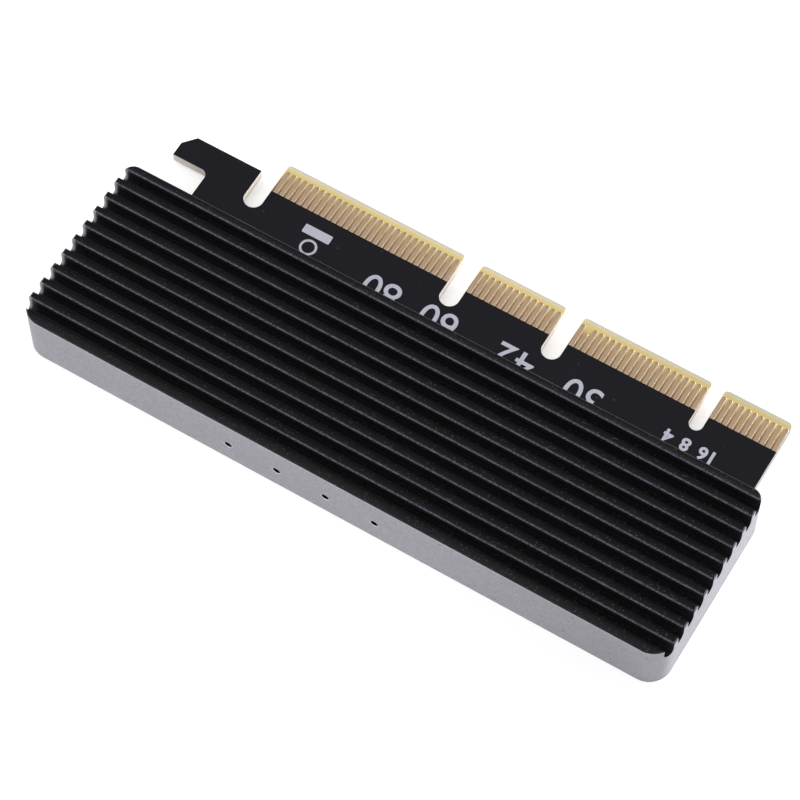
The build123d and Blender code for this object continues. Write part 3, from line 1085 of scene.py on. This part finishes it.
def copy_to(piece: Piece, places: list[Vector]) -> list[Piece]:
    """Copies a piece to more places, each copy with its own mesh.

    Args:
        piece: The piece, which goes to the first place.
        places: Where each one goes, in metres.

    Returns:
        All the pieces.
    """
    pieces = [piece]
    for place in places[1:]:
        twin = piece.copy()
        twin.data = piece.data.copy()
        twin.location = place
        bpy.context.scene.collection.objects.link(twin)
        pieces.append(twin)
    piece.location = places[0]
    return pieces


def dress(node: str, material: Material) -> None:
    """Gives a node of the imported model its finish.

    Args:
        node: The node's name.
        material: The finish.
    """
    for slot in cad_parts[node].material_slots:
        slot.material = material


# Sub-assemblies


@dataclass
class Shell:
    """The finned shell. Sizes are in millimetres."""

    front_radius: float = 3.5
    back_radius: float = 1.8
    front_rib: float = 1.5
    back_rib: float = 1.3
    fin_width: float = 1.14
    fin_count: int = 9
    hole_diameter: float = 1.05
    hole_break: float = 0.15
    hole_pitch: float = 8.0
    hole_count: int = 4
    hole_height: float = 4.2
    hole_start: float = 6.85

    def fin_pitch(self, half_width: float) -> float:
        """Returns the pitch of the fins in a shell of this half width."""
        grooves = 2 * half_width - self.front_rib - self.back_rib - self.fin_count * self.fin_width
        return grooves / (self.fin_count + 1) + self.fin_width

    def first_fin(self, half_width: float) -> float:
        """Returns the middle of the first fin, counted from the shell's middle."""
        return self.front_rib + self.fin_pitch(half_width) - self.fin_width / 2 - half_width

    def build(self) -> None:
        """Dresses the shell."""
        low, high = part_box("heatsink_shell")
        finish = ShellFinish(name="shell_anodised", shell=self, low=low, high=high)
        dress("heatsink_shell", finish.material())


@dataclass
class CardEdge:
    """The circuit board and its gold contacts. Sizes are in millimetres."""

    pitch: float = 1.0
    width: float = 0.7
    tip_rounding: float = 0.30
    foot: float = 0.012
    slope: float = 0.06
    short_by: float = 1.1
    tab_margin: float = 0.3
    mask_lap: float = 0.1
    runs: tuple[int, ...] = (11, 21, 14, 30)
    left_out: tuple[int, ...] = (2, 3, 3, 0)

    def build(self) -> Material:
        """Dresses the board and models the contacts of both faces.

        Returns:
            The board's finish.
        """
        low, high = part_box("edge_contacts_side_b")
        board_low, board_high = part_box("circuit_board")
        board = BoardFinish(
            name="board_mask",
            mask_end=low.y / MM + self.mask_lap,
            tab_end=low.x / MM - self.tab_margin,
            contact_tip=high.y / MM,
            edge=board_high.y / MM,
            bottom=board_low.z / MM,
            top=board_high.z / MM,
            contact_start=high.x / MM - self.width / 2,
            contact_pitch=self.pitch,
        ).material()
        dress("circuit_board", board)
        gold = GoldFinish(name="gold_plating", tip=high.y / MM).material()
        for node, face, short_one in (
            ("edge_contacts_side_b", Face.TOP, 31),
            ("edge_contacts_side_a", Face.REAR, 1),
        ):
            row = settle(join(self.row(node, face, short_one)), f"{node}_plated", gold)
            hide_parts(node)
        return board

    def places(self) -> list[float]:
        """Lists the contacts of one face.

        Returns:
            The X of each, counted back from the first one.
        """
        places = []
        step = 0
        for run, left_out in zip(self.runs, self.left_out):
            places += [-(step + index) * self.pitch for index in range(run)]
            step += run + left_out
        return places

    def row(self, node: str, face: Face, short_one: int) -> list[Piece]:
        """Models the contacts of one face.

        Args:
            node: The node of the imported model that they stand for.
            face: The face of the board that they lie on.
            short_one: The number of the short contact, counted from 1.

        Returns:
            The contacts.
        """
        low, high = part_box(node)
        surface = low.z if face is Face.TOP else high.z
        first = high.x - self.width * MM / 2
        start = low.y + self.mask_lap * MM
        places = [Vector((first + x * MM, start, surface)) for x in self.places()]
        short_place = places.pop(short_one - 1)
        length = (high.y - start) / MM
        thickness = (high.z - low.z) / MM
        short = self.contact(face, length - self.short_by, thickness)
        return copy_to(self.contact(face, length, thickness), places) + copy_to(short, [short_place])

    def contact(self, face: Face, length: float, thickness: float) -> Piece:
        """Models one contact with a rounded tip and sloping sides.

        Args:
            face: The face of the board that it lies on.
            length: Its length, in millimetres.
            thickness: Its thickness, in millimetres.

        Returns:
            The contact, its back end at the origin.
        """
        middle = length * MM / 2
        contact = open_plate((0, middle, 0), self.width, length)
        select_parts(contact, "verts", lambda corner: corner.co.y > middle)
        bpy.ops.mesh.bevel(offset=self.tip_rounding * MM, segments=4, affect="VERTICES")
        extrude_all(face.value * self.foot)
        bpy.ops.mesh.inset(thickness=self.slope * MM)
        bpy.ops.transform.translate(value=(0, 0, face.value * (thickness - self.foot) * MM))
        close_mesh()
        return contact


@dataclass(frozen=True)
class Figures:
    """One line of figures, all of one size. Sizes are in millimetres."""

    height: float
    weight: float
    y: float
    places: tuple[tuple[str, float], ...]


@dataclass
class Legend:
    """Plain printed shapes and numbers on the board. Sizes are in millimetres."""

    thickness: float = 0.012
    bar_size: Pair = (4.6, 1.5)
    bar_place: Pair = (-24.9, 14.2)
    bar_rounding: float = 0.18
    ring_radius: float = 1.35
    ring_width: float = 0.36
    ring_place: Pair = (-24.9, 11.6)
    ring_corners: int = 48
    figure_share: float = 0.70
    lengths: Figures = Figures(
        height=4.3, weight=0.03, y=10.9, places=(("80", -12.0), ("60", -2.4), ("42", 10.2), ("30", 21.4))
    )
    lanes: Figures = Figures(
        height=2.0, weight=0.09, y=11.6, places=(("16", 41.3), ("8", 37.8), ("4", 35.0))
    )

    def build(self) -> None:
        """Models the shapes and the numbers, and prints them on the top face."""
        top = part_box("circuit_board")[1].z
        x, y = self.ring_place
        place = (x * MM, y * MM, top)
        marks = [
            self.bar(top),
            flat_ring(place, self.ring_radius, self.ring_width, self.thickness, self.ring_corners),
        ]
        for figures in (self.lengths, self.lanes):
            marks += [self.number(text, x, top, figures) for text, x in figures.places]
        settle(join(marks), "board_legend", InkFinish(name="legend_ink").material())

    def bar(self, top: float) -> Piece:
        """Models the solid bar with its corners rounded.

        Args:
            top: The face that it lies on, in metres.

        Returns:
            The bar.
        """
        x, y = self.bar_place
        bar = open_plate((x * MM, y * MM, top), *self.bar_size)
        bpy.ops.mesh.select_all(action="SELECT")
        bpy.ops.mesh.bevel(offset=self.bar_rounding * MM, segments=3, affect="VERTICES")
        extrude_all(self.thickness)
        close_mesh()
        return bar

    def number(self, text: str, x: float, top: float, figures: Figures) -> Piece:
        """Models a number that is read from the gold edge.

        Args:
            text: Its figures.
            x: The place of its middle along the card, in millimetres.
            top: The face that it lies on, in metres.
            figures: The line that it stands in.

        Returns:
            The number as a mesh.
        """
        start_alone()
        bpy.ops.object.text_add(location=(0, 0, 0))
        letters = bpy.context.object.data
        letters.body = text
        letters.align_x = "CENTER"
        letters.align_y = "CENTER"
        letters.extrude = self.thickness * MM / 2
        letters.resolution_u = 5
        letters.offset = figures.weight * MM
        letters.size = figures.height * MM / self.figure_share
        bpy.ops.object.convert(target="MESH")
        number = bpy.context.object
        number.rotation_euler = (0, 0, math.pi)
        number.location = (x * MM, figures.y * MM, top + self.thickness * MM / 2)
        apply_place()
        return number


@dataclass
class Vias:
    """Plated holes under the mask, as low rings with a dimple. Sizes are in millimetres."""

    radius: float = 0.24
    corners: int = 14
    rise: float = 0.010
    ring_width: float = 0.1
    dimple_slope: float = 0.06
    dimple_share: float = 0.7
    top_places: tuple[Pair, ...] = (
        (40.9, 15.2),
        (42.1, 15.2),
        (43.3, 15.2),
        (41.5, 14.2),
        (42.7, 14.2),
        (31.2, 14.8),
        (9.6, 15.4),
        (-6.0, 15.0),
    )
    stitch_start: Pair = (-42.0, -17.5)
    stitch_pitch: Pair = (6.0, 2.4)
    stitch_count: int = 15

    def build(self, mask: Material) -> None:
        """Models one via, and copies it over both faces.

        Args:
            mask: The board's finish.
        """
        low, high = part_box("circuit_board")
        rear_places = [*self.top_places, *self.stitches()]
        for face, surface, spots in ((Face.TOP, high.z, self.top_places), (Face.REAR, low.z, rear_places)):
            places = [Vector((x * MM, y * MM, surface)) for x, y in spots]
            vias = join(copy_to(self.via(face), places))
            settle(vias, f"board_vias_{face.name.lower()}", mask)

    def stitches(self) -> list[Pair]:
        """Returns the places of the stitching vias on the rear face, in two lines."""
        (x, y), (along, across) = self.stitch_start, self.stitch_pitch
        return [(x + along * step, y + across * (step % 2)) for step in range(self.stitch_count)]

    def via(self, face: Face) -> Piece:
        """Models a low ring with a dimple, turned over for the rear face.

        Args:
            face: The face of the board that it lies on.

        Returns:
            The via at the origin.
        """
        via = open_disc((0, 0, 0), self.radius, self.corners)
        extrude_all(self.rise)
        bpy.ops.mesh.inset(thickness=self.ring_width * MM)
        bpy.ops.mesh.inset(thickness=self.dimple_slope * MM)
        bpy.ops.transform.translate(value=(0, 0, -self.dimple_share * self.rise * MM))
        close_mesh()
        via.rotation_euler = (math.pi if face is Face.REAR else 0.0, 0, 0)
        return via


@dataclass
class MountingRings:
    """Tinned rings on the rear face around the screw heads. Sizes are in millimetres."""

    inner_radius: float = 1.95
    outer_radius: float = 2.4
    thickness: float = 0.03
    head_radius: float = 1.9
    corners: int = 40

    def build(self, tin: Material) -> None:
        """Models one ring and copies it to each case screw.

        Args:
            tin: The finish of tinned pads.
        """
        low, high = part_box("case_screws")
        reach = self.head_radius * MM
        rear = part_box("circuit_board")[0].z
        rows = (low.y + reach, high.y - reach)
        places = [Vector((x, y, rear)) for x in (low.x + reach, high.x - reach) for y in rows]
        width = self.outer_radius - self.inner_radius
        ring = flat_ring((0, 0, 0), self.outer_radius, width, -self.thickness, self.corners)
        settle(join(copy_to(ring, places)), "mounting_rings", tin)


@dataclass
class SmallParts:
    """Socket, fasteners, pad and chips under the shell, with their finishes. Sizes are in millimetres."""

    moulded: PartFinish = PartFinish(
        "socket_moulding", (0.018, 0.018, 0.020), (0.05, 0.05, 0.055), Texture.MOULDED, roughness=0.5
    )
    tinned: PartFinish = PartFinish(
        "tinned_steel", (0.62, 0.62, 0.60), (0.80, 0.80, 0.78), Texture.ROLLED, metallic=1.0, roughness=0.34
    )
    brass: PartFinish = PartFinish(
        "turned_brass", (0.72, 0.52, 0.24), (0.90, 0.74, 0.42), Texture.TURNED, metallic=1.0, roughness=0.3
    )
    black: PartFinish = PartFinish(
        "black_plated_steel", (0.035, 0.035, 0.038), (0.30, 0.30, 0.31), Texture.TURNED, 0.9, 0.38
    )
    silicone: PartFinish = PartFinish(
        "silicone_pad", (0.32, 0.42, 0.58), (0.40, 0.50, 0.66), Texture.SOFT, 0.0, 0.8, grain=0.5, wear=0.3
    )
    plated: PartFinish = PartFinish(
        "socket_plating", (0.70, 0.54, 0.30), (0.90, 0.76, 0.50), Texture.ROLLED, 1.0, 0.28, grain=0.06
    )
    ceramic: Triple = (0.36, 0.24, 0.14)
    coated: Triple = (0.02, 0.02, 0.022)
    lens: Triple = (0.74, 0.70, 0.52)

    def build(self) -> Material:
        """Dresses the small parts.

        Returns:
            The finish of tinned ones.
        """
        tin, plating, screw = self.tinned.material(), self.plated.material(), self.black.material()
        for node, material in (
            ("drive_socket_body", self.moulded.material()),
            ("drive_socket_front_contacts", plating),
            ("drive_socket_rear_contacts", plating),
            ("drive_socket_anchors", tin),
            ("drive_standoffs", self.brass.material()),
            ("drive_screw", screw),
            ("case_screws", screw),
            ("thermal_pad", self.silicone.material()),
        ):
            dress(node, material)
        self.dress_chips()
        return tin

    def dress_chips(self) -> None:
        """Dresses each row of chips, whose end caps follow from their place in the row."""
        rows = (
            ("status_leds", 0, 8.0, 1.6, 0.3, self.lens, 0.30),
            ("led_resistors", 0, 8.0, 1.0, 0.25, self.coated, 0.55),
            ("decoupling_capacitors", 0, 8.0, 1.0, 0.25, self.ceramic, 0.55),
            ("pull_up_resistors", 0, 8.0, 1.0, 0.25, self.coated, 0.55),
            ("bulk_capacitors", 1, 3.2, 2.0, 0.4, self.ceramic, 0.55),
        )
        for node, axis, pitch, length, cap, body, gloss in rows:
            finish = ChipFinish(
                name=f"{node}_finish",
                axis=axis,
                start=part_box(node)[1][axis] / MM - length / 2,
                pitch=pitch,
                body_half=length / 2 - cap,
                body=body,
                gloss=gloss,
            )
            dress(node, finish.material())


@dataclass
class Lamp:
    """One soft lamp. Its direction is from the card, and its level is its radiance."""

    name: str
    direction: Triple
    distance: float
    size: float
    level: float
    colour: Triple = (1.0, 1.0, 1.0)

    def hang(self, target: Vector) -> None:
        """Adds the lamp, turned towards a point.

        Args:
            target: The point that it lights, in metres.
        """
        data = bpy.data.lights.new(self.name, "AREA")
        data.shape = "DISK"
        data.size = self.size
        area = math.pi * (self.size / 2) ** 2
        data.energy = self.level * math.pi * area
        data.color = self.colour
        lamp = bpy.data.objects.new(self.name, data)
        bpy.context.scene.collection.objects.link(lamp)
        way = Vector(self.direction).normalized()
        lamp.location = target + way * self.distance
        lamp.rotation_euler = way.to_track_quat("Z", "Y").to_euler()


@dataclass
class Studio:
    """Camera, floor, world and lamps. Sizes are in metres."""

    eye: Triple = (0.11168, -0.19088, 0.42205)
    tilt: float = 27.528
    turn: float = 30.852
    lens: float = 149.46
    aim: Triple = (0, -0.005, 0.004)
    floor_half: float = 3.0
    floor_drop: float = 0.00002
    ambient: float = 0.50
    overhead: float = 0.45

    def set_camera(self) -> None:
        """Puts the camera where the photograph was taken from."""
        data = bpy.data.cameras.new("camera")
        data.sensor_width = 36.0
        data.lens = self.lens
        data.clip_start = 0.01
        data.clip_end = 50.0
        camera = bpy.data.objects.new("camera", data)
        camera.location = self.eye
        camera.rotation_euler = (math.radians(self.tilt), 0, math.radians(self.turn))
        bpy.context.scene.collection.objects.link(camera)
        bpy.context.scene.camera = camera

    def build(self) -> None:
        """Adds the floor, the world and the lamps, and sets the view."""
        bpy.context.scene.view_settings.view_transform = "Standard"
        self.lay_floor()
        self.light_world()
        for lamp in (
            Lamp("front_lamp", (-0.42, -0.86, 0.34), 0.9, 0.42, 3.3, (0.94, 0.96, 1.0)),
            Lamp("right_lamp", (0.61, 0.76, 0.22), 0.9, 0.50, 19.6),
            Lamp("top_lamp", (-0.55, -0.30, 0.95), 1.2, 0.80, 1.8),
        ):
            lamp.hang(Vector(self.aim))

    def lay_floor(self) -> None:
        """Adds the floor under the card."""
        start_alone()
        bpy.ops.mesh.primitive_plane_add(size=2 * self.floor_half, location=(0, 0, -self.floor_drop))
        floor = bpy.context.object
        floor.name = "floor"
        floor.data.materials.append(FloorFinish(name="floor_paper").material())

    def light_world(self) -> None:
        """Makes the world white where it is seen, darker overhead in reflections, and soft as light."""
        world = bpy.data.worlds.new("studio")
        bpy.context.scene.world = world
        world.use_nodes = True
        sheet = NodeSheet(world.node_tree)
        path = sheet.add("ShaderNodeLightPath").outputs
        up = sheet.split(sheet.add("ShaderNodeTexCoord").outputs["Generated"])[2]
        reflected = sheet.level((up, 0.55, 0.85), 1.0, self.overhead)
        glossy = sheet.either(path["Is Glossy Ray"], path["Is Transmission Ray"])
        strength = sheet.level(glossy, self.ambient, reflected)
        strength = sheet.level(path["Is Camera Ray"], strength, 1.0)
        light = sheet.feed_inputs(sheet.add("ShaderNodeBackground"), color=(1.0, 1.0, 1.0), strength=strength)
        sheet.feed_inputs(sheet.add("ShaderNodeOutputWorld"), surface=light.outputs[0])


# Building the scene


def remove_defaults() -> None:
    """Removes the objects that a new Blender file starts with."""
    for name in ("Cube", "Light", "Camera"):
        piece = bpy.data.objects.get(name)
        if piece:
            bpy.data.objects.remove(piece)


def main() -> None:
    """Builds the studio and the card in order."""
    logging.basicConfig(level=logging.INFO, format="%(name)s: %(message)s")
    remove_defaults()
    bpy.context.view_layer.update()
    studio = Studio()
    studio.set_camera()
    LOG.info("camera set")
    Shell().build()
    LOG.info("shell dressed")
    mask = CardEdge().build()
    LOG.info("card edge dressed")
    tin = SmallParts().build()
    LOG.info("small parts dressed")
    Legend().build()
    LOG.info("legend printed")
    Vias().build(mask)
    LOG.info("vias added")
    MountingRings().build(tin)
    LOG.info("mounting rings added")
    studio.build()
    LOG.info("studio lit")


if __name__ == "__main__":
    main()
